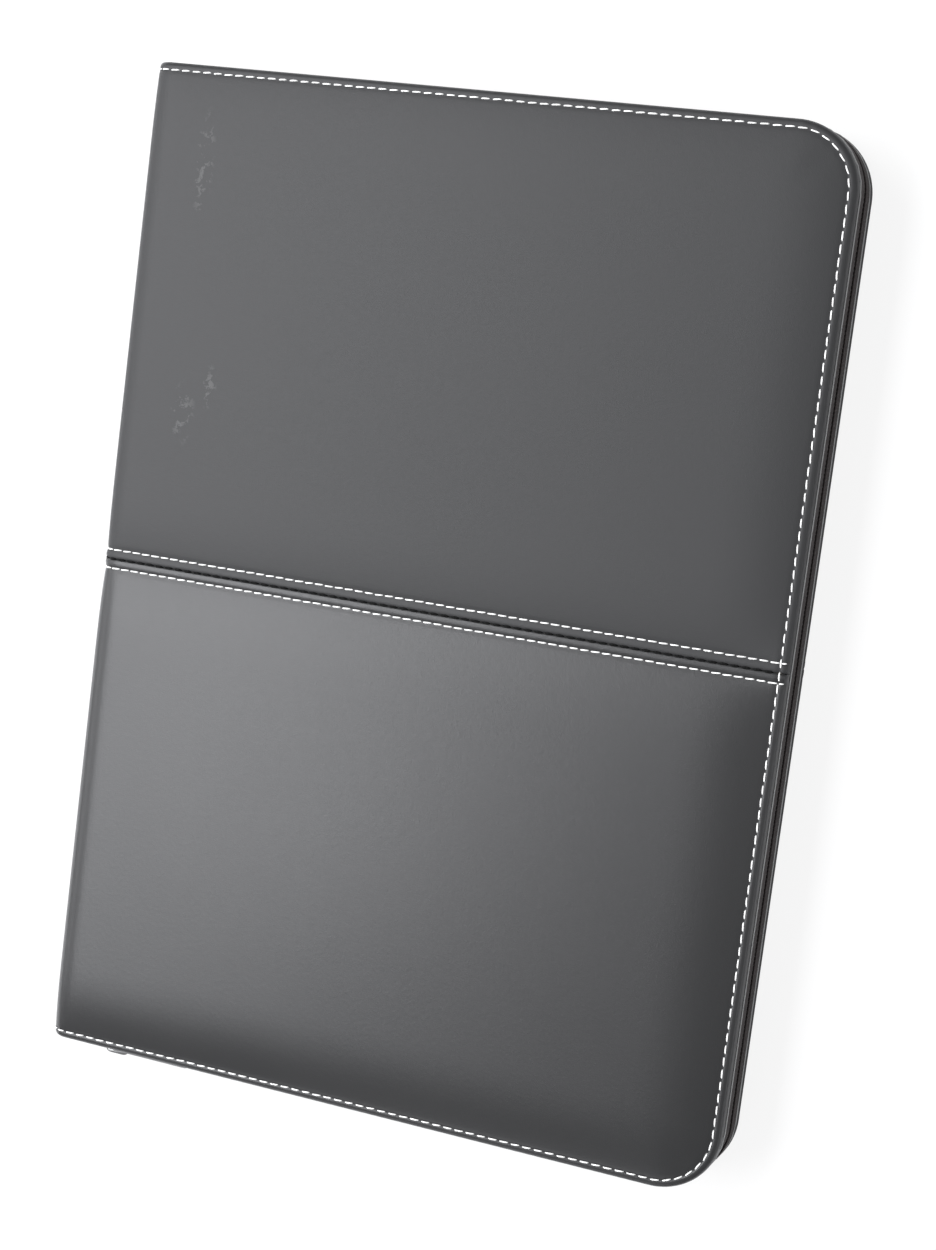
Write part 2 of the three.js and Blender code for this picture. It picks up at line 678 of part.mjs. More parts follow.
// A flattened elastic loop that holds a pen, standing on the back cover's lining
function penLoop() {
  const width = PEN_LOOP_WIDTH / 2;
  const outer = loopPath(width, PEN_LOOP_HEIGHT / 2, 16);
  const inner = loopPath(width - PEN_LOOP_WALL, PEN_LOOP_HEIGHT / 2 - PEN_LOOP_WALL, 16);
  const x = LEFT + PEN_LOOP_FROM_SPINE;
  const z = -COVER_EDGE - PLY_GAP - PEN_LOOP_HEIGHT / 2;
  const place = ([px, pz], y) => [x + px, y, z + pz];
  const y0 = SEAM_Y - PEN_LOOP_LENGTH / 2;
  const y1 = SEAM_Y + PEN_LOOP_LENGTH / 2;
  const solid = ringSolid([outer.map((p) => place(p, y1)), outer.map((p) => place(p, y0))]);
  const bore = ringSolid([inner.map((p) => place(p, y1 + 1)), inner.map((p) => place(p, y0 - 1))]);
  return subtract(solid, bore);
}

// A stadium outline with half-round ends, counter-clockwise in X and Z
function loopPath(halfWidth, halfHeight, count) {
  const points = [];
  for (let i = 0; i < count; i += 1) {
    const angle = ((i + 0.5) / count) * Math.PI * 2;
    const shift = Math.sign(Math.cos(angle)) * (halfWidth - halfHeight);
    points.push([shift + halfHeight * Math.cos(angle), halfHeight * Math.sin(angle)]);
  }
  return points;
}

// The folder put together

const folder = new THREE.Group();
folder.position.set(0, ORIGIN_SHIFT_Y, 0);

function addPiece(name, geometry, finish, group = folder) {
  const mesh = new THREE.Mesh(geometry, new THREE.MeshStandardMaterial(finish));
  mesh.name = name;
  group.add(mesh);
}

const covers = [
  { side: "front", put: onFront, upper: CROWN_UPPER, lower: CROWN_LOWER, tuck: TUCK_DEPTH },
  { side: "back", put: onBack, upper: CROWN_BACK, lower: CROWN_BACK, tuck: 0 },
];
for (const { side, put, upper, lower, tuck } of covers) {
  addPiece(`${side}_leather_upper`, put(leatherPanel(UPPER_PAD, upper)), LEATHER_FINISH);
  addPiece(`${side}_leather_lower`, put(leatherPanel(LOWER_PAD, lower)), LEATHER_FINISH);
  addPiece(`${side}_foam_upper`, put(foamPad(UPPER_PAD, upper)), FOAM_FINISH);
  addPiece(`${side}_foam_lower`, put(foamPad(LOWER_PAD, lower)), FOAM_FINISH);
  addPiece(`${side}_board`, put(board()), BOARD_FINISH);
  addPiece(`${side}_lining`, put(lining()), LINING_FINISH);
  addPiece(`${side}_edge_thread`, put(edgeThread()), THREAD_FINISH);
  addPiece(`${side}_seam_thread_upper`, put(seamThread(1)), THREAD_FINISH);
  addPiece(`${side}_seam_thread_lower`, put(seamThread(-1)), THREAD_FINISH);
  addPiece(`${side}_zip_tape`, put(zipTape(tuck)), TAPE_FINISH);
  addPiece(`${side}_zip_coil`, put(zipCoil(tuck)), COIL_FINISH);
}

const spineHalves = [
  { half: "upper", low: SEAM_Y + SEAM_GAP / 2, high: TOP },
  { half: "lower", low: BOTTOM, high: SEAM_Y - SEAM_GAP / 2 },
];
for (const { half, low, high } of spineHalves) {
  const rows = [low + STITCH_INSET, high - STITCH_INSET];
  const [edgeRowY, seamRowY] = half === "upper" ? rows.toReversed() : rows;
  addPiece(`spine_leather_${half}`, spineLeather(low, high, rows), LEATHER_FINISH);
  addPiece(`spine_edge_thread_${half}`, spineThread(edgeRowY), THREAD_FINISH);
  addPiece(`spine_seam_thread_${half}`, spineThread(seamRowY), THREAD_FINISH);
}
addPiece("spine_board", spineBoard(), BOARD_FINISH);
addPiece("spine_lining", spineLining(), LINING_FINISH);

addPiece("document_pocket", onFront(documentPocket()), LINING_FINISH);
for (let number = 1; number <= CARD_POCKETS; number += 1) {
  addPiece(`card_pocket_${number}`, onFront(cardPocket(number)), LINING_FINISH);
}
addPiece("pad_pocket", onBack(padPocket()), LINING_FINISH);
addPiece("pen_loop", onBack(penLoop()), LINING_FINISH);

const slider = new THREE.Group();
slider.position.set(LEFT + ZIP_END_FROM_SPINE + SLIDER_FROM_ZIP_END, 0, MIDDLE_Z);
folder.add(slider);
addPiece("zip_slider", zipSlider(), METAL_FINISH, slider);
addPiece("zip_pull", zipPull(), METAL_FINISH, slider);

export default folder;
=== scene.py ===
# A padded A4 document folder with a zip on three sides, lying closed on its back cover.
# Shapes are worked out in millimetres and turned into metres, in the part's frame, by MM.
import json
import math
import random

import bpy
import numpy as np
from mathutils import Matrix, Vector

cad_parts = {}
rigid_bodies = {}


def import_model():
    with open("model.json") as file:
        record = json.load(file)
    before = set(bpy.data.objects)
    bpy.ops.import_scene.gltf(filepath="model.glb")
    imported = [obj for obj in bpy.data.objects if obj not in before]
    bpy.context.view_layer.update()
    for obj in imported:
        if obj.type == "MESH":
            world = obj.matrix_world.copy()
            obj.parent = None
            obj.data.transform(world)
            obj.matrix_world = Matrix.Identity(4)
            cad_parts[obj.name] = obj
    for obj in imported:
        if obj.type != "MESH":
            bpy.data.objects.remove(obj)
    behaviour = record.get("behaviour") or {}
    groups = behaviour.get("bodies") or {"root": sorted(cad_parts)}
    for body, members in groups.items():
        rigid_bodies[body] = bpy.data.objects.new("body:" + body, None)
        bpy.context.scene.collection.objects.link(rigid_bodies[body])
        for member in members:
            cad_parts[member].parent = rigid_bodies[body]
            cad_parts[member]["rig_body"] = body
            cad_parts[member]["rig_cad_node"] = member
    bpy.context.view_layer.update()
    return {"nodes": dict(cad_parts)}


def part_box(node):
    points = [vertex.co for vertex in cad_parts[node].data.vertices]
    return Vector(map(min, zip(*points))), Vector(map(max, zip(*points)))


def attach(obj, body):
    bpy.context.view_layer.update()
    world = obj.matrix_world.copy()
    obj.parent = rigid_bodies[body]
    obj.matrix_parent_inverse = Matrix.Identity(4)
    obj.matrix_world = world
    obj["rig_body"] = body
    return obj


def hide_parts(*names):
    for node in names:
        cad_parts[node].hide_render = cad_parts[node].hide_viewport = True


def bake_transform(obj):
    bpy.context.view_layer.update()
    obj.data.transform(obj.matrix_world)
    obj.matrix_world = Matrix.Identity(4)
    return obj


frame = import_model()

MM = 0.001
QUARTER = math.pi / 2

# The closed folder's outline and levels; SHIFT_Y makes room for the slider below the covers
SHIFT_Y = 2.1
LEFT, RIGHT = -122.0, 122.0
BOTTOM, TOP = -170.0 + SHIFT_Y, 170.0 + SHIFT_Y
FRONT_Z, BACK_Z, MIDDLE_Z = 25.7, 1.5, 13.6
HALF_SPINE = FRONT_Z - MIDDLE_Z
SEAM_Y = 1.0 + SHIFT_Y
CORNER = 21.5
LOW_CORNER_Y, HIGH_CORNER_Y = BOTTOM + CORNER, TOP - CORNER
CORNER_X = RIGHT - CORNER

# The leather sheet, and how it bends round the spine's corner
SPINE_CORNER = 6.0
BEND_X = LEFT + SPINE_CORNER
FOLD_X = BEND_X + 0.3
PAD_EDGE = BEND_X - SPINE_CORNER * QUARTER
SPINE_END_X = PAD_EDGE - (HALF_SPINE - SPINE_CORNER)
LEATHER_THICK = 0.9
COVER_DEPTH = 5.8

# The edge row of stitches: from the fold along the bottom, round the fore-edge, back along the top
ROW_INSET = 2.8
ROW_RADIUS = CORNER - ROW_INSET
STRAIGHT = CORNER_X - FOLD_X
ARC = ROW_RADIUS * QUARTER
SIDE = TOP - BOTTOM - 2 * CORNER
ROW_LENGTH = 2 * STRAIGHT + 2 * ARC + SIDE
STITCHES = 197
PITCH = ROW_LENGTH / STITCHES
HALF_PITCH = PITCH / 2

# The seam's rows, one on each side of the seam, with shorter stitches, and the rows over the spine
SEAM_HALF = 0.4
SEAM_ROW = SEAM_HALF + ROW_INSET
SEAM_STITCHES = 65
SEAM_PITCH = PITCH * 0.91
SEAM_HOLE_X = RIGHT - ROW_INSET - SEAM_STITCHES * SEAM_PITCH
SEAM_ON_SPINE = math.floor((SEAM_HOLE_X - SPINE_END_X) / SEAM_PITCH)
SEAM_LAST_X = RIGHT - 1.75
SPINE_STITCHES = 4
SPINE_PITCH = (FOLD_X - SPINE_END_X) / SPINE_STITCHES


# Small helpers

def alone(piece):
    bpy.ops.object.select_all(action="DESELECT")
    piece.select_set(True)
    bpy.context.view_layer.objects.active = piece


def edit_all(piece, *steps):
    """Runs mesh operators, each given with its settings, on the whole of a piece."""
    alone(piece)
    bpy.ops.object.mode_set(mode="EDIT")
    bpy.ops.mesh.select_all(action="SELECT")
    for operator, settings in steps:
        operator(**settings)
    bpy.ops.object.mode_set(mode="OBJECT")


def recalculate(piece):
    edit_all(piece, (bpy.ops.mesh.remove_doubles, {"threshold": 1e-7}),
             (bpy.ops.mesh.normals_make_consistent, {"inside": False}))


def flip_normals(piece):
    edit_all(piece, (bpy.ops.mesh.flip_normals, {}))


def points_of(piece):
    co = np.empty(len(piece.data.vertices) * 3)
    piece.data.vertices.foreach_get("co", co)
    return co.reshape(-1, 3)


def set_points(piece, points):
    piece.data.vertices.foreach_set("co", np.asarray(points, float).ravel())
    piece.data.update()


def apply_modifier(piece, kind, **settings):
    alone(piece)
    modifier = piece.modifiers.new(kind.title(), kind)
    for name, value in settings.items():
        setattr(modifier, name, value)
    bpy.ops.object.modifier_apply(modifier=modifier.name)


def smooth(piece, angle=40):
    alone(piece)
    bpy.ops.object.shade_smooth_by_angle(angle=math.radians(angle))


def new_piece(name, points, faces):
    mesh = bpy.data.meshes.new(name)
    mesh.from_pydata(points.tolist(), [], faces)
    piece = bpy.data.objects.new(name, mesh)
    bpy.context.collection.objects.link(piece)
    return piece


def dress(piece, material):
    """Gives a piece its finish."""
    piece.data.materials.clear()
    piece.data.materials.append(material)


def grid_piece(name, across, along):
    """A grid primitive with one crossing for each pair of the two lists of values, laid flat."""
    bpy.ops.object.select_all(action="DESELECT")
    bpy.ops.mesh.primitive_grid_add(x_subdivisions=len(across) - 1, y_subdivisions=len(along) - 1,
                                    size=2)
    piece = bpy.context.object
    piece.name = name
    points = points_of(piece)
    i = np.rint((points[:, 0] + 1) / 2 * (len(across) - 1)).astype(int)
    j = np.rint((points[:, 1] + 1) / 2 * (len(along) - 1)).astype(int)
    set_points(piece, np.stack([np.asarray(across)[i], np.asarray(along)[j], 0.0 * i], 1))
    return piece


def ease(share):
    share = np.clip(share, 0, 1)
    return share * share * (3 - 2 * share)


def on_side(points, side):
    """From millimetres over a cover's edge face to metres in the part's frame."""
    z = FRONT_Z + points[:, 2] if side == "front" else BACK_Z - points[:, 2]
    return np.column_stack([points[:, :2], z]) * MM


def bend_round_spine(points):
    """Takes what lies past the bend, in the flat sheet, round the spine's corner, down its side."""
    x, y, h = points[:, 0], points[:, 1], points[:, 2]
    past = np.maximum(BEND_X - x, 0)
    quarter = SPINE_CORNER * QUARTER
    angle = np.minimum(past, quarter) / SPINE_CORNER
    down = np.maximum(past - quarter, 0)
    radius = SPINE_CORNER + h
    bent_x = BEND_X - radius * np.sin(angle)
    bent_z = -SPINE_CORNER + radius * np.cos(angle) - down
    return np.stack([np.where(past > 0, bent_x, x), y, np.where(past > 0, bent_z, h)], 1)


def to_cover(points, side):
    """The same as on_side(), for points of the flat sheet, which bends round the spine."""
    return on_side(bend_round_spine(points), side)


def round_edges(length, start_x, inset):
    """Point and direction, at a length along a line that keeps an inset from the open edges.
    It runs from start_x along the bottom, up the fore-edge and back along the top."""
    radius = CORNER - inset
    length -= CORNER_X - start_x
    if length < 0:
        return (CORNER_X + length, BOTTOM + inset), 0.0
    if length < radius * QUARTER:
        angle = length / radius
        return (CORNER_X + radius * math.sin(angle), LOW_CORNER_Y - radius * math.cos(angle)), angle
    length -= radius * QUARTER
    if length < SIDE:
        return (RIGHT - inset, LOW_CORNER_Y + length), QUARTER
    length -= SIDE
    if length < radius * QUARTER:
        angle = length / radius
        spot = (CORNER_X + radius * math.cos(angle), HIGH_CORNER_Y + radius * math.sin(angle))
        return spot, QUARTER + angle
    return (CORNER_X - (length - radius * QUARTER), TOP - inset), math.pi


# The leather's form: a flat sheet first, then its pad, stitch rows and seam, then the bend

PAD_START, PAD_REACH, PAD_FULLNESS = 3.2, 30, 3.2
GROOVE_DEPTH, GROOVE_WIDTH = 0.14, 0.7
HOLE_DEPTH, HOLE_WIDTH = 0.12, 0.9
LIP_HEIGHT, SEAM_DEPTH, SEAM_SHARPNESS = 0.24, 0.65, 13
EASED_IN = 3


def rise(distance):
    """How full the pad is, from 0 to 1, at a distance inside a sewn line."""
    share = np.clip((distance - PAD_START) / PAD_REACH, 0, 1)
    return 1 - (1 - share) ** PAD_FULLNESS


def edge_inset(x, y):
    """Distance inside the rounded outline, and from the straight fore-edge and ends."""
    dx = RIGHT - x
    dy = np.minimum(y - BOTTOM, TOP - y)
    corner = CORNER - np.hypot(CORNER - dx, CORNER - dy)
    inside = (dx < CORNER) & (dy < CORNER)
    return np.where(inside, corner, np.minimum(dx, dy)), dx, dy


def row_length(x, y):
    """How far along the edge row a point lies, from the fold along the bottom."""
    angle_low = np.arctan2(x - CORNER_X, LOW_CORNER_Y - y)
    angle_high = np.arctan2(x - CORNER_X, y - HIGH_CORNER_Y)
    length = np.where(y < SEAM_Y, x - FOLD_X, ROW_LENGTH - (x - FOLD_X))
    past = x > CORNER_X
    length = np.where(past & (y < LOW_CORNER_Y), STRAIGHT + ROW_RADIUS * angle_low, length)
    length = np.where(past & (y > HIGH_CORNER_Y),
                      ROW_LENGTH - STRAIGHT - ROW_RADIUS * angle_high, length)
    beside = (y >= LOW_CORNER_Y) & (y <= HIGH_CORNER_Y)
    beside &= RIGHT - x < np.minimum(y - BOTTOM, TOP - y)
    return np.where(beside, STRAIGHT + ARC + (y - LOW_CORNER_Y), length)


def dimples(offset, length, pitch):
    """The thread's groove, deeper at each needle hole."""
    hole = 0.5 + 0.5 * np.cos(2 * np.pi * length / pitch)
    groove = GROOVE_DEPTH * np.exp(-((offset / GROOVE_WIDTH) ** 2))
    return -groove - HOLE_DEPTH * hole * np.exp(-((offset / HOLE_WIDTH) ** 2))


def leather_height(x, y, crown, pillow):
    """Height over the cover's edge face: crown near the edges, pillow over the whole panel."""
    inset, dx, dy = edge_inset(x, y)
    from_seam = np.abs(y - SEAM_Y)
    nearest = np.maximum(rise(np.minimum(dx, dy)), 1e-6)
    pad = rise(dx) * rise(dy) * rise(inset) / nearest
    pad = pad * rise(from_seam - SEAM_HALF) * ease((x - PAD_EDGE) / (BEND_X + EASED_IN - PAD_EDGE))
    along = np.clip((x - FOLD_X) / (RIGHT - FOLD_X), 0, 1)
    up = np.where(y > SEAM_Y, (y - SEAM_Y) / (TOP - SEAM_Y), (SEAM_Y - y) / (SEAM_Y - BOTTOM))
    swell = np.sin(np.pi * along) * np.sin(np.pi * np.clip(up, 0, 1))
    height = crown * pad + pillow * swell
    height = height + dimples(inset - ROW_INSET, row_length(x, y), PITCH)
    height = height + dimples(from_seam - SEAM_ROW, x - SEAM_HOLE_X, SEAM_PITCH)
    share = np.clip(from_seam / SEAM_ROW, 0, 1)
    pinch = 0.8 + 0.2 * np.cos(2 * np.pi * (x - SEAM_HOLE_X) / SEAM_PITCH)
    valley = SEAM_DEPTH * pinch * (1 - share) ** SEAM_SHARPNESS
    lip = LIP_HEIGHT * np.sin(np.pi * share ** 0.8) - valley
    return height + np.where(share < 1, lip, 0)


# Grid lines at these distances from the outline and from the seam, and the turned edge's section
# as (inset, height), from the sheet's rim round the cover's edge to under the board
EDGE_LINES = [2.1, 2.4, 2.8, 3.2, 3.7, 4.3, 5.2, 6.4, 8, 10, 12, 14, 16, 18, 20]
SEAM_LINES = [0.06, 0.2, 0.4, 0.65, 1, 1.4, 1.8, 2.3, 2.8, 3.2, 3.7, 4.2, 5, 6, 7.4, 9]
TURNED_IN = [(1.35, -0.12), (0.75, -0.42), (0.32, -1.0), (0.12, -1.8), (0.1, -2.6), (0.18, -3.4),
             (0.5, -4.1), (1.1, -4.55), (2, -4.7), (6, -4.7), (10.5, -4.7)]
RIM_INSET = EDGE_LINES[0]
SEAM_REACH = 10
LEAST_GAP = 0.6
LINES_ON_BEND, MOST_LINES = 8, 160


def panel_lines(half):
    """The grid lines of a panel: by half stitches, and closer at its edges and the seam."""
    across = [SPINE_END_X]
    x = FOLD_X - LINES_ON_BEND * HALF_PITCH
    while x < CORNER_X + 0.5:
        if x > SPINE_END_X + 0.5:
            across.append(x)
        x += HALF_PITCH
    edge = [RIGHT - inset for inset in reversed(EDGE_LINES)]
    across += [x for x in edge if x > across[-1] + LEAST_GAP]
    first = LOW_CORNER_Y - (STRAIGHT + ARC) % HALF_PITCH
    stations = [first + k * HALF_PITCH for k in range(1, MOST_LINES)]
    if half == "upper":
        along = [SEAM_Y + d for d in SEAM_LINES]
        along += [y for y in stations if SEAM_Y + SEAM_REACH < y < HIGH_CORNER_Y]
        along += [TOP - d for d in reversed(EDGE_LINES)]
    else:
        along = [BOTTOM + d for d in EDGE_LINES]
        along += [y for y in stations if LOW_CORNER_Y < y < SEAM_Y - SEAM_REACH]
        along += [SEAM_Y - d for d in reversed(SEAM_LINES)]
    return across, along


def round_corner(points, half):
    """Draws the sheet's square fore-edge corner in to its rounded outline."""
    radius = CORNER - RIM_INSET
    up, centre_y = (1, HIGH_CORNER_Y) if half == "upper" else (-1, LOW_CORNER_Y)
    a = (points[:, 0] - CORNER_X) / radius
    b = up * (points[:, 1] - centre_y) / radius
    inside = (a > 0) & (b > 0)
    new_a = a * np.sqrt(np.clip(1 - b * b / 2, 0, 1))
    new_b = b * np.sqrt(np.clip(1 - a * a / 2, 0, 1))
    points[:, 0] = np.where(inside, CORNER_X + radius * new_a, points[:, 0])
    points[:, 1] = np.where(inside, centre_y + up * radius * new_b, points[:, 1])
    return points


def outward(x, y):
    """Outward direction of the cover's outline beside each point."""
    across, along = np.maximum(x - CORNER_X, 0), y - np.clip(y, LOW_CORNER_Y, HIGH_CORNER_Y)
    length = np.maximum(np.hypot(across, along), 1e-9)
    return np.stack([across / length, along / length], 1)


def select_rim(piece, points):
    """Selects the sheet's open edges along the outline, and nothing else."""
    alone(piece)
    bpy.ops.object.mode_set(mode="EDIT")
    bpy.ops.mesh.select_mode(type="EDGE")
    bpy.ops.mesh.select_all(action="DESELECT")
    bpy.ops.object.mode_set(mode="OBJECT")
    inset, _, _ = edge_inset(points[:, 0], points[:, 1])
    rim = inset < RIM_INSET + 0.02
    counts = {}
    for face in piece.data.polygons:
        for key in face.edge_keys:
            counts[key] = counts.get(key, 0) + 1
    for edge in piece.data.edges:
        a, b = edge.vertices
        edge.select = bool(counts[edge.key] == 1 and rim[a] and rim[b])


def turn_edge_in(piece):
    """Draws the selected rim out ring by ring, round the cover's edge and in under the board."""
    inset, height = RIM_INSET, 0.0
    for new_inset, new_height in TURNED_IN:
        bpy.ops.object.mode_set(mode="EDIT")
        bpy.ops.mesh.extrude_edges_move()
        bpy.ops.object.mode_set(mode="OBJECT")
        points = points_of(piece)
        new = np.array([v.select for v in piece.data.vertices])
        points[new, :2] += outward(points[new, 0], points[new, 1]) * (inset - new_inset)
        points[new, 2] += new_height - height
        set_points(piece, points)
        inset, height = new_inset, new_height


def leather_panel(side, half, crown, pillow):
    """One half of a cover's leather in one sheet, on over the fold to the middle of the spine."""
    piece = grid_piece(f"{side}_{half}_leather", *panel_lines(half))
    points = round_corner(points_of(piece), half)
    points[:, 2] = leather_height(points[:, 0], points[:, 1], crown, pillow)
    set_points(piece, points)
    select_rim(piece, points)
    turn_edge_in(piece)
    set_points(piece, to_cover(points_of(piece), side))
    recalculate(piece)
    facing = 1 if side == "front" else -1
    crest = max(piece.data.polygons, key=lambda face: facing * face.center.z)
    if facing * crest.normal.z < 0:
        flip_normals(piece)
    apply_modifier(piece, "SOLIDIFY", thickness=LEATHER_THICK * MM, offset=-1)
    smooth(piece, 50)
    return piece


# Stitches

STITCH_SIDES = 6
STITCH_CUTS = (-0.7, -0.35, 0.0, 0.35, 0.7)
STITCH_WIDTH = 0.26
STITCH_REACH = PITCH * 0.365
STITCH_BOW, STITCH_DIVE = 0.14, 0.34

# Each stitch leans a few degrees, more or less by a random sway
LEAN, POCKET_LEAN, SWAY = 3.5, 3, 2


def stitch_shape():
    """One stitch: a short thread that bows up and dives into its two holes, in millimetres."""
    bpy.ops.object.select_all(action="DESELECT")
    bpy.ops.mesh.primitive_cylinder_add(vertices=STITCH_SIDES, radius=1, depth=2,
                                        end_fill_type="NGON")
    piece = bpy.context.object
    bpy.ops.object.mode_set(mode="EDIT")
    for cut in STITCH_CUTS:
        bpy.ops.mesh.select_all(action="SELECT")
        bpy.ops.mesh.bisect(plane_co=(0, 0, cut), plane_no=(0, 0, 1))
    bpy.ops.object.mode_set(mode="OBJECT")
    points = points_of(piece)
    t = points[:, 2].copy()
    width = STITCH_WIDTH * (1 - 0.3 * t ** 4)
    lift = STITCH_BOW - STITCH_DIVE * t ** 4
    across, up = points[:, 0] * width, points[:, 1] * width * 0.85 + lift
    shaped = np.stack([t * STITCH_REACH, across, up], 1)
    faces = [tuple(f.vertices) for f in piece.data.polygons]
    bpy.data.objects.remove(piece)
    return shaped, faces


STITCH, STITCH_FACES = stitch_shape()


def laid_stitch(spot, turn, side, size=(1, 1, 1), shift=0.0, sunk=0.0):
    """The stitch's points at a spot of the flat sheet, turned, sized and sunk into it."""
    c, s = math.cos(turn), math.sin(turn)
    along, across, up = (STITCH * size).T
    across = across + shift
    flat = [spot[0] + along * c - across * s, spot[1] + along * s + across * c, up - sunk]
    return to_cover(np.stack(flat, 1), side)


def sewn(name, stitches):
    """One piece of many laid stitches."""
    faces = [tuple(number * len(STITCH) + v for v in face)
             for number in range(len(stitches)) for face in STITCH_FACES]
    piece = new_piece(name, np.concatenate(stitches), faces)
    recalculate(piece)
    smooth(piece, 60)
    return piece


def stitch_row(name, side, stations, seed, sunk=0.05, last=1.0, thick=1.0):
    """Stitches at ((x, y), direction) stations of the flat sheet. The last one can be shorter,
    where a row ends at the edge row."""
    rng = random.Random(seed)
    stitches = []
    for number, (spot, direction) in enumerate(stations):
        turn = direction + math.radians(LEAN + rng.uniform(-SWAY, SWAY))
        size = rng.uniform(0.95, 1.04) * (last if number == len(stations) - 1 else 1)
        shift = rng.uniform(-0.06, 0.06)
        stitches.append(laid_stitch(spot, turn, side, (size, thick, 1), shift, sunk))
    return sewn(name, stitches)


def edge_stations():
    return [round_edges((k + 0.5) * PITCH, FOLD_X, ROW_INSET) for k in range(STITCHES)]


def straight_stations(y, first, last, hole_x=FOLD_X, pitch=PITCH):
    return [((hole_x + (k + 0.5) * pitch, y), 0.0) for k in range(first, last)]


# Zip coil: one filament wound in turns behind the tape's edge

COIL_TURN = 1.5
COIL_STEPS = 10
COIL_INSET = 1.85
COIL_START_X = LEFT + 12
COIL_DEPTH = -9.7
COIL_ACROSS, COIL_UP = 0.75, 1.2
FILAMENT = 0.3
TUCK = 4.6


def open_way():
    """The zip's centre line as points and outward directions, and how far it is tucked in: fully
    along the bottom, where the slider runs, and no longer past the first corner."""
    total = 2 * (CORNER_X - COIL_START_X) + 2 * (CORNER - COIL_INSET) * QUARTER + SIDE
    rows = []
    for length in np.arange(0, total, COIL_TURN / COIL_STEPS):
        spot, direction = round_edges(length, COIL_START_X, COIL_INSET)
        out = (math.sin(direction), -math.cos(direction))
        rows.append((*spot, *out, ease(1 - direction / QUARTER)))
    rows = np.array(rows)
    return rows[:, :2], rows[:, 2:4], rows[:, 4]


def unit(vectors):
    return vectors / np.linalg.norm(vectors, axis=1)[:, None]


def wound_coil(side):
    """The coil on one cover's tape: a four-sided filament that winds round the centre line."""
    spots, out, tucked = open_way()
    tuck = tucked * (TUCK if side == "front" else 0)
    turn = np.arange(len(spots)) * 2 * np.pi / COIL_STEPS
    centre = spots - out * (tuck + COIL_ACROSS * np.cos(turn))[:, None]
    line = np.column_stack([centre, COIL_DEPTH + COIL_UP * np.sin(turn)])
    out = np.column_stack([out, np.zeros(len(spots))])
    radial = np.cos(turn)[:, None] * -out + np.sin(turn)[:, None] * np.array([0, 0, 1])
    binormal = unit(np.cross(unit(np.gradient(line, axis=0)), radial))
    rings = [line + FILAMENT * (math.cos(k * QUARTER) * radial + math.sin(k * QUARTER) * binormal)
             for k in range(4)]
    points = np.stack(rings, 1).reshape(-1, 3)
    faces = [(4 * i + k, 4 * i + (k + 1) % 4, 4 * i + 4 + (k + 1) % 4, 4 * i + 4 + k)
             for i in range(len(spots) - 1) for k in range(4)]
    faces += [(3, 2, 1, 0), tuple(len(points) - 4 + k for k in range(4))]
    piece = new_piece(f"{side}_coil", on_side(points, side), faces)
    recalculate(piece)
    smooth(piece, 80)
    return piece


# Materials

class Value:
    """A number socket that can be added, multiplied, divided and compared like a number, also
    with the number first, as in 1 - mask."""

    def __init__(self, maker, socket):
        self.maker = maker
        self.socket = socket

    def _math(self, operation, other):
        return self.maker.math(operation, self, other)

    def __add__(self, other): return self._math("ADD", other)
    def __radd__(self, other): return self._math("ADD", other)
    def __sub__(self, other): return self._math("SUBTRACT", other)
    def __rsub__(self, other): return self.maker.math("SUBTRACT", other, self)
    def __mul__(self, other): return self._math("MULTIPLY", other)
    def __rmul__(self, other): return self._math("MULTIPLY", other)
    def __truediv__(self, other): return self._math("DIVIDE", other)
    def __rtruediv__(self, other): return self.maker.math("DIVIDE", other, self)
    def __gt__(self, other): return self._math("GREATER_THAN", other)


class Finish:
    """A material under way: its nodes are added by add(), and its numbers are Values."""

    def __init__(self, name):
        self.material = bpy.data.materials.new(name)
        self.material.use_nodes = True
        self.tree = self.material.node_tree
        self.shader = self.tree.nodes["Principled BSDF"]

    def add(self, kind, settings=None, **inputs):
        node = self.tree.nodes.new("ShaderNode" + kind)
        for name, value in (settings or {}).items():
            setattr(node, name, value)
        for name, value in inputs.items():
            self.feed(node.inputs[name.replace("_", " ")], value)
        return node

    def feed(self, socket, value):
        if isinstance(value, Value):
            value = value.socket
        if isinstance(value, bpy.types.NodeSocket):
            self.tree.links.new(value, socket)
        else:
            socket.default_value = value

    def math(self, operation, *values):
        node = self.add("Math", {"operation": operation})
        for socket, value in zip(node.inputs, values):
            self.feed(socket, value)
        return self.value(node.outputs[0])

    def value(self, socket):
        return Value(self, socket)

    def place(self):
        return self.add("TexCoord").outputs["Object"]

    def axes(self):
        place = self.add("SeparateXYZ", Vector=self.place())
        return [self.value(place.outputs[k]) for k in range(3)]

    def noise(self, scale, detail=2.0, roughness=0.5):
        node = self.add("TexNoise", Vector=self.place(), Scale=scale, Detail=detail,
                        Roughness=roughness)
        return self.value(node.outputs["Fac"])

    def mix(self, factor, low, high):
        node = self.add("Mix", {"data_type": "RGBA"}, Factor=factor, A=low, B=high)
        return node.outputs["Result"]

    def bump(self, height, strength, distance):
        node = self.add("Bump", Height=height, Strength=strength, Distance=distance)
        self.feed(self.shader.inputs["Normal"], node.outputs["Normal"])

    def set(self, **inputs):
        for name, value in inputs.items():
            self.feed(self.shader.inputs[name.replace("_", " ")], value)
        return self.material


def grey(level, tint=(1.0, 1.0, 1.0)):
    return (level * tint[0], level * tint[1], level * tint[2], 1)


# Faint rubbed places on the front cover: centre and half sizes in metres
SCUFFS = (
    (-0.098, 0.139, 0.004, 0.02),
    (-0.096, 0.056, 0.005, 0.012),
    (-0.087, 0.066, 0.003, 0.008),
)


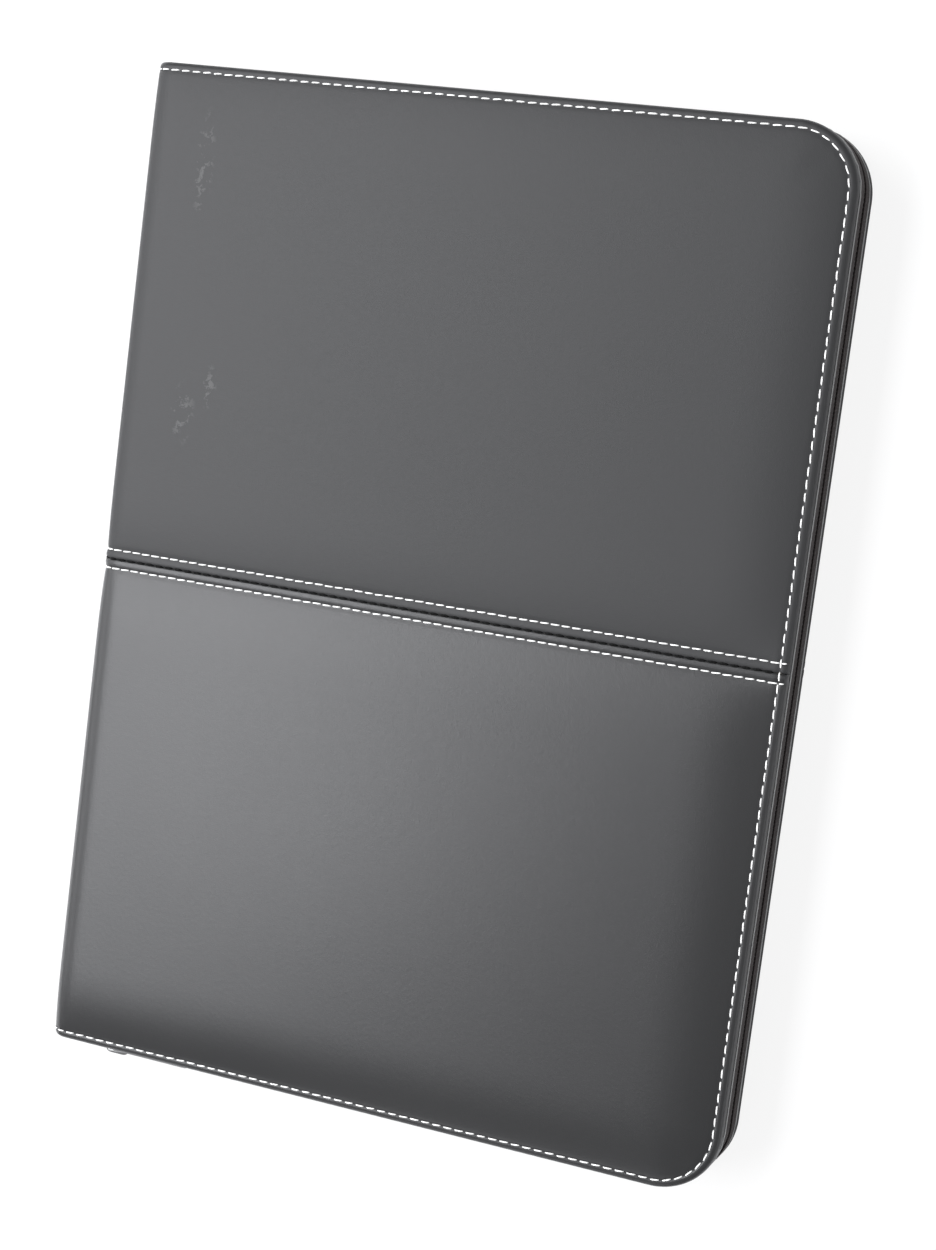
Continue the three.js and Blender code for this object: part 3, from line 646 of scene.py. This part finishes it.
def leather_finish(name, level, roughness, specular):
    f = Finish(name)
    grain = f.add("TexVoronoi", {"feature": "DISTANCE_TO_EDGE"}, Vector=f.place(), Scale=1900.0)
    cells = f.value(grain.outputs["Distance"])
    soft = f.noise(700.0, 3.0)
    wide = f.noise(14.0, 2.0)
    rub = f.noise(260.0, 5.0, roughness=0.75)
    x, y, _ = f.axes()
    worn = 0.0
    for scuff_x, scuff_y, width, length in SCUFFS:
        across, along = (x - scuff_x) / width, (y - scuff_y) / length
        near = f.math("MAXIMUM", 1.0 - (across * across + along * along), 0.0)
        worn = near * (rub > 0.56) + worn
    low, high = grey(level * 0.92, (0.98, 0.99, 1.02)), grey(level * 1.08, (1, 1, 1.03))
    colour = f.mix(worn * 0.5, f.mix(wide, low, high), grey(0.12))
    f.bump(cells * 0.55 + soft * 0.6, 0.14, 0.0004)
    rough = roughness - 0.05 + soft * 0.06 + wide * 0.04 + worn * 0.1
    return f.set(Base_Color=colour, Roughness=rough, Specular_IOR_Level=specular)


def thread_finish(name, low, high, shine=0.5):
    f = Finish(name)
    ply = f.add("TexWave", {"bands_direction": "DIAGONAL"}, Vector=f.place(), Scale=520.0,
                Distortion=1.0)
    f.bump(f.value(ply.outputs["Fac"]), 0.5, 0.0002)
    return f.set(Base_Color=f.mix(f.noise(300.0), low, high), Roughness=0.65,
                 Specular_IOR_Level=shine)


def woven_finish(name, low, high, threads, rough=0.85, strength=0.5):
    f = Finish(name)
    x, y, z = f.axes()
    warp = f.math("SINE", (x + z) * threads)
    weft = f.math("SINE", (y + z) * threads)
    cloth = warp * weft * 0.5 + 0.5
    tone = f.noise(90.0, 3.0)
    colour = f.mix(cloth * 0.6 + tone * 0.4, low, high)
    f.bump(cloth, strength, 0.0002)
    return f.set(Base_Color=colour, Roughness=rough + tone * 0.1)


def plain_finish(name, low, high, rough, scale=200.0, strength=0.1, **extra):
    f = Finish(name)
    tone = f.noise(scale, 3.0)
    f.bump(tone, strength, 0.0002)
    return f.set(Base_Color=f.mix(tone, low, high), Roughness=rough + tone * 0.1, **extra)


BROWNISH, BUFF, CREAM = (1.5, 1, 0.95), (1.1, 1, 0.8), (1, 0.97, 0.85)

LEATHER = leather_finish("grey_leather", 0.0245, 0.5, 0.26)
TIGHT_LEATHER = leather_finish("grey_leather_drawn_tight", 0.019, 0.37, 0.37)
THREAD = thread_finish("white_thread", grey(0.74, (1, 0.99, 0.96)), grey(0.9, (1, 1, 0.99)))
DARK_THREAD = thread_finish("dark_thread", grey(0.004), grey(0.01), 0.2)
BLACK_THREAD = thread_finish("black_thread", grey(0.002), grey(0.005), 0.08)
TAPE = woven_finish("black_zip_tape", grey(0.003, BROWNISH), grey(0.016, BROWNISH), 5200.0)
LINING = woven_finish("black_lining", grey(0.01), grey(0.03), 6800.0, 0.7, 0.35)
# The lining's edge faces: a light grey that paints the highlight along the edge ridge, where the
# lining itself is black
LINING_EDGE_HIGHLIGHT = plain_finish("lining_edge_painted_highlight", grey(0.18), grey(0.22), 0.35, 800.0)
COIL = plain_finish("black_nylon", grey(0.012), grey(0.02), 0.3)
METAL = plain_finish("plated_metal", grey(0.22), grey(0.28), 0.28, 90.0, 0.04, Metallic=1.0)
BOARD = plain_finish("grey_board", grey(0.3, BUFF), grey(0.4, BUFF), 0.85)
FOAM = plain_finish("foam", grey(0.6, CREAM), grey(0.7, CREAM), 0.9, 900.0, 0.4)
ELASTIC = woven_finish("black_elastic", grey(0.008), grey(0.03), 4200.0, 0.8, 0.6)
POCKET = plain_finish("thin_black_leather", grey(0.012), grey(0.022), 0.46, 1200.0, 0.3,
                      Specular_IOR_Level=0.32)


# Finer copies of solids

FLAT_ANGLE, EASED_ANGLE = math.radians(1), math.radians(35)


def finer(node, name, bevel, segments=2):
    """A merged copy of a solid with its edges eased, which stands for it."""
    source = frame["nodes"][node]
    piece = source.copy()
    piece.data = source.data.copy()
    piece.parent = None
    piece.name = name
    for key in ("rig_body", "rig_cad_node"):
        if key in piece:
            del piece[key]
    bpy.context.collection.objects.link(piece)
    recalculate(piece)
    edit_all(piece, (bpy.ops.mesh.dissolve_limited, {"angle_limit": FLAT_ANGLE}))
    apply_modifier(piece, "BEVEL", width=bevel * MM, segments=segments, limit_method="ANGLE",
                   angle_limit=EASED_ANGLE, harden_normals=False)
    edit_all(piece, (bpy.ops.mesh.dissolve_degenerate, {"threshold": 1e-6}))
    smooth(piece, 35)
    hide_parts(node)
    return piece


# Inside pieces: a pocket's sheet lies just over the lining, and each layer over the one before

INNER = COVER_DEPTH + 0.1
LAYER = 0.8
SHEET_THICK = 0.6
SHEET_SWELL = 0.18
HEM_DEPTH, HEM_RIDGE = 6.2, 0.16
HEM_ROW, HEM_GROOVE = 6.4, 0.12
HEM_LINES = (7.2, 6.8, 6.4, 6.0, 5.6, 3, 0.6, 0)
NOTCH_FADE = 60


def inner_sheet(name, low_x, high_x, low_y, high_y, layer, side, notch=0.0):
    """A pocket's sheet: a thin plate with a turned hem along its open top edge, a soft swell and,
    where it has one, a round thumb notch."""
    across = np.linspace(low_x, high_x, max(12, int((high_x - low_x) / 3)))
    along = np.linspace(low_y, high_y, max(12, int((high_y - low_y) / 3)))
    along = np.array([y for y in along if y < high_y - 8] + [high_y - d for d in HEM_LINES])
    piece = grid_piece(name, across, along)
    points = points_of(piece)
    x, y = points[:, 0], points[:, 1]
    u, v = (x - low_x) / (high_x - low_x), (y - low_y) / (high_y - low_y)
    swell = SHEET_SWELL * np.sin(np.pi * u) * np.sin(np.pi * np.clip(v, 0, 1))
    ridge = np.where(high_y - y < HEM_DEPTH, HEM_RIDGE, 0.0)
    groove = HEM_GROOVE * np.exp(-(((high_y - y) - HEM_ROW) / 0.4) ** 2)
    points[:, 2] = -INNER - layer * LAYER - 0.02 - swell - ridge + groove
    if notch:
        from_middle = x - (low_x + high_x) / 2
        dip = np.sqrt(np.clip(notch ** 2 - from_middle ** 2, 0, None))
        points[:, 1] = y - dip * np.clip(1 - (high_y - y) / NOTCH_FADE, 0, 1)
    set_points(piece, to_cover(points, side))
    facing = 1 if side == "back" else -1
    if facing * piece.data.polygons[0].normal.z < 0:
        flip_normals(piece)
    apply_modifier(piece, "SOLIDIFY", thickness=SHEET_THICK * MM, offset=1)
    apply_modifier(piece, "BEVEL", width=0.15 * MM, segments=2, limit_method="ANGLE",
                   angle_limit=math.radians(50))
    smooth(piece, 40)
    return piece


POCKET_PITCH = 3.2
POCKET_ROW = 1.6
POCKET_STITCH = (0.78, 0.7, -0.7)
NOTCH_ROW = 5


def pocket_stations(low_x, high_x, low_y, high_y, notch):
    """Rows round the three closed sides of a pocket and along its hem, round the thumb notch."""
    hem_y = high_y - HEM_ROW
    centre = (low_x + high_x) / 2
    count = int((high_x - low_x - 2 * POCKET_ROW) / POCKET_PITCH)
    start = centre - count * POCKET_PITCH / 2
    stations = []
    for y in (low_y + POCKET_ROW, hem_y):
        stations += straight_stations(y, 0, count, start, POCKET_PITCH)
    count = int((high_y - low_y - 2 * POCKET_ROW) / POCKET_PITCH)
    for x in (low_x + POCKET_ROW, high_x - POCKET_ROW):
        rises = [low_y + POCKET_ROW + (k + 0.5) * POCKET_PITCH for k in range(count)]
        stations += [((x, y), QUARTER) for y in rises]
    if not notch:
        return stations
    radius = notch + NOTCH_ROW
    half = math.sqrt(radius ** 2 - HEM_ROW ** 2)
    stations = [((x, y), direction) for (x, y), direction in stations
                if abs(x - centre) > half or y < hem_y - 0.6]
    low = math.asin(HEM_ROW / radius)
    count = round((math.pi - 2 * low) * radius / POCKET_PITCH)
    for k in range(count):
        angle = math.pi + low + (math.pi - 2 * low) * (k + 0.5) / count
        spot = (centre + radius * math.cos(angle), high_y + radius * math.sin(angle))
        stations.append((spot, angle + QUARTER))
    return stations


def pocket_stitches(name, low_x, high_x, low_y, high_y, layer, side, seed, notch):
    """A pocket's stitches, smaller than the cover's and turned to the inside."""
    rng = random.Random(seed)
    sunk = INNER + layer * LAYER + SHEET_THICK + 0.12
    stitches = []
    for spot, direction in pocket_stations(low_x, high_x, low_y, high_y, notch):
        turn = direction + math.radians(POCKET_LEAN + rng.uniform(-SWAY, SWAY))
        stitches.append(laid_stitch(spot, turn, side, POCKET_STITCH, sunk=sunk))
    return sewn(name, stitches)


def fold_lining(side):
    """The lining carried over the inside of a fold, from the spine's lining to the cover's."""
    start_x, start_z = LEFT + 3.7, -13.0
    end_x, end_z = FOLD_X + 6, -COVER_DEPTH - 0.15
    piece = grid_piece(f"{side}_fold_lining", np.linspace(0, 1, 9),
                       np.linspace(BOTTOM + 0.7, TOP - 0.7, 60))
    points = points_of(piece)
    turn = points[:, 0] * QUARTER
    points[:, 0] = end_x - (end_x - start_x) * np.cos(turn)
    points[:, 2] = start_z + (end_z - start_z) * np.sin(turn)
    set_points(piece, on_side(points, side))
    apply_modifier(piece, "SOLIDIFY", thickness=0.35 * MM, offset=0)
    recalculate(piece)
    smooth(piece, 50)
    return piece


# Build: leather and stitches. A sheet runs from the spine onto the cover

# Crown and pillow of each panel's pad
PADS = {
    ("front", "upper"): (1.6, 0.3),
    ("front", "lower"): (2.6, 1.3),
    ("back", "upper"): (1.35, 0.0),
    ("back", "lower"): (1.35, 0.0),
}

for side in ("front", "back"):
    for half in ("upper", "lower"):
        panel = leather_panel(side, half, *PADS[side, half])
        nodes = [f"{side}_leather_{half}"]
        if side == "front":
            nodes.append(f"spine_leather_{half}")
        dress(panel, TIGHT_LEATHER if (side, half) == ("front", "lower") else LEATHER)
        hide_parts(*nodes)
        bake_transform(panel)
        row = SEAM_Y + SEAM_ROW * (1 if half == "upper" else -1)
        stations = straight_stations(row, -SEAM_ON_SPINE, SEAM_STITCHES, SEAM_HOLE_X, SEAM_PITCH)
        stations.append(((SEAM_LAST_X, row), 0.0))
        seam = stitch_row(f"{side}_{half}_seam_stitches", side, stations, 3, last=0.5)
        dress(seam, THREAD)
        nodes = [f"{side}_seam_thread_{half}"]
        if side == "front":
            nodes.append(f"spine_seam_thread_{half}")
        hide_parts(*nodes)
        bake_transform(seam)
    closing = straight_stations(SEAM_Y, -SEAM_ON_SPINE, SEAM_STITCHES - 1,
                                SEAM_HOLE_X + PITCH / 2, SEAM_PITCH)
    joint = stitch_row(f"{side}_joint_stitches", side, closing, 7, sunk=0.14, thick=2.0)
    dress(joint, BLACK_THREAD)
    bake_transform(joint)
    over_spine = [station for y in (BOTTOM + ROW_INSET, TOP - ROW_INSET)
                  for station in straight_stations(y, -SPINE_STITCHES, 0, pitch=SPINE_PITCH)]
    edge = stitch_row(f"{side}_edge_stitches", side, edge_stations() + over_spine, 5)
    dress(edge, THREAD)
    nodes = [f"{side}_edge_thread"]
    if side == "front":
        nodes += ["spine_edge_thread_upper", "spine_edge_thread_lower"]
    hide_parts(*nodes)
    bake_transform(edge)

# Build: linings, with their edge faces painted light grey as a painted highlight, and the zip

for side in ("front", "back"):
    lining = finer(f"{side}_lining", f"{side}_lining_sheet", 0.45, 4)
    dress(lining, LINING)
    # Faces that don't face up or down, along the lining's edge, take the painted highlight
    lining.data.materials.append(LINING_EDGE_HIGHLIGHT)
    for face in lining.data.polygons:
        face.material_index = int(abs(face.normal.z) < 0.97)
    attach(lining, f"{side}_cover")
    tape = finer(f"{side}_zip_tape", f"{side}_tape", 0.12, 1)
    dress(tape, TAPE)
    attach(tape, f"{side}_cover")
    coil = wound_coil(side)
    dress(coil, COIL)
    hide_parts(f"{side}_zip_coil")
    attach(coil, f"{side}_cover")

for node, material, slot, body, bevel in (
    ("zip_slider", METAL, "metal", "slider", 0.2),
    ("zip_pull", METAL, "metal", "pull", 0.3),
    ("pen_loop", ELASTIC, "pocket", "back_cover", 0.2),
):
    piece = finer(node, node + "_fine", bevel)
    dress(piece, material)
    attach(piece, body)

for side in ("front", "back"):
    fold = fold_lining(side)
    dress(fold, LINING)
    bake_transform(fold)

# Build: pockets, as node, cover, layer and radius of the thumb notch

POCKETS = (
    ("document_pocket", "front", 0, 0.0),
    ("card_pocket_1", "front", 0, 0.0),
    ("card_pocket_2", "front", 1, 0.0),
    ("card_pocket_3", "front", 2, 0.0),
    ("pad_pocket", "back", 0, 16.0),
)
for seed, (node, side, layer, notch) in enumerate(POCKETS):
    low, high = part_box(node)
    limits = (low.x / MM, high.x / MM, low.y / MM, high.y / MM)
    sheet = inner_sheet(node + "_sheet", *limits, layer, side, notch)
    dress(sheet, POCKET)
    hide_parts(node)
    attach(sheet, f"{side}_cover")
    row = pocket_stitches(node + "_stitches", *limits, layer, side, seed, notch)
    dress(row, DARK_THREAD)
    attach(row, f"{side}_cover")

# The solids' own looks: the last word that is in a node's name counts

SOLID_LOOKS = (("foam", FOAM), ("board", BOARD), ("coil", COIL), ("thread", THREAD),
               ("leather", LEATHER))
for node, solid in frame["nodes"].items():
    material = LINING
    for word, finish in SOLID_LOOKS:
        if word in node:
            material = finish
    solid.data.materials.clear()
    solid.data.materials.append(material)

# Stage: a floor that the camera sees as nearly plain white, soft light and the camera

bpy.ops.object.select_all(action="DESELECT")
bpy.ops.mesh.primitive_plane_add(size=60, location=(0, 0, 0))
floor = bpy.context.object
floor.name = "floor"
paper = Finish("pale_floor")
paper.set(Base_Color=grey(0.9), Roughness=0.9)
path = paper.add("LightPath")
white = paper.add("Emission", Color=(1, 1, 1, 1), Strength=1.0)
seen = paper.value(path.outputs["Is Camera Ray"]) * 0.85
both = paper.add("MixShader")
paper.feed(both.inputs[0], seen)
paper.feed(both.inputs[1], paper.shader.outputs["BSDF"])
paper.feed(both.inputs[2], white.outputs["Emission"])
paper.feed(paper.tree.nodes["Material Output"].inputs["Surface"], both.outputs[0])
floor.data.materials.append(paper.material)

world = bpy.data.worlds.new("studio")
bpy.context.scene.world = world
world.use_nodes = True
backdrop = world.node_tree.nodes["Background"]
backdrop.inputs["Color"].default_value = (1, 1, 1, 1)
backdrop.inputs["Strength"].default_value = 0.3


def placed(item, right, up, back, place):
    """Sets an object's axes and its place."""
    rows = [[right[k], up[k], back[k], place[k]] for k in range(3)]
    item.matrix_world = Matrix(rows + [[0, 0, 0, 1]])


def softbox(name, place, aim, size, power):
    """A rectangular lamp at a place, turned to its aim: metres and watts."""
    light = bpy.data.lights.new(name, "AREA")
    light.shape = "RECTANGLE"
    light.size, light.size_y = size
    light.energy = power
    light.color = (0.96, 0.97, 1)
    lamp = bpy.data.objects.new(name, light)
    bpy.context.collection.objects.link(lamp)
    back = np.array(place) - np.array(aim)
    back = back / np.linalg.norm(back)
    side = np.cross([0, 1, 0], back)
    side = side / np.linalg.norm(side)
    placed(lamp, side, np.cross(back, side), back, place)


softbox("key", (-0.68, 0.15, 1.15), (0, 0, 0), (0.6, 1.5), 34)
softbox("fill", (0.9, 0.2, 1.6), (0, 0, 0), (1.6, 1.2), 6)
softbox("side", (-1.3, 0.1, 0.55), (-0.1, 0, 0), (0.5, 1.4), 9)
softbox("low", (-0.45, -1.3, 0.36), (0, -0.1, 0), (1.4, 0.5), 4)
softbox("edge", (1.2, -0.25, 0.5), (0.1, 0, 0), (0.4, 1.3), 4)

# The camera as solved from the photo: its focal length in the photo's pixels, axes and place
FOCAL_PX, PHOTO_PX, SENSOR = 2400, 1250, 36
RIGHTWARD = (0.925121, 0.12568, -0.358268)
UPWARD = (-0.160137, 0.984746, -0.068058)
BACKWARD = (0.344249, 0.120334, 0.931135)
EYE = (0.28354, 0.09529, 0.75177)
camera = bpy.data.objects.new("camera", bpy.data.cameras.new("camera"))
bpy.context.collection.objects.link(camera)
camera.data.lens = FOCAL_PX * SENSOR / PHOTO_PX
camera.data.clip_start, camera.data.clip_end = 0.05, 20
placed(camera, RIGHTWARD, UPWARD, BACKWARD, EYE)
bpy.context.scene.camera = camera
bpy.context.scene.view_settings.view_transform = "Standard"

bpy.context.view_layer.update()
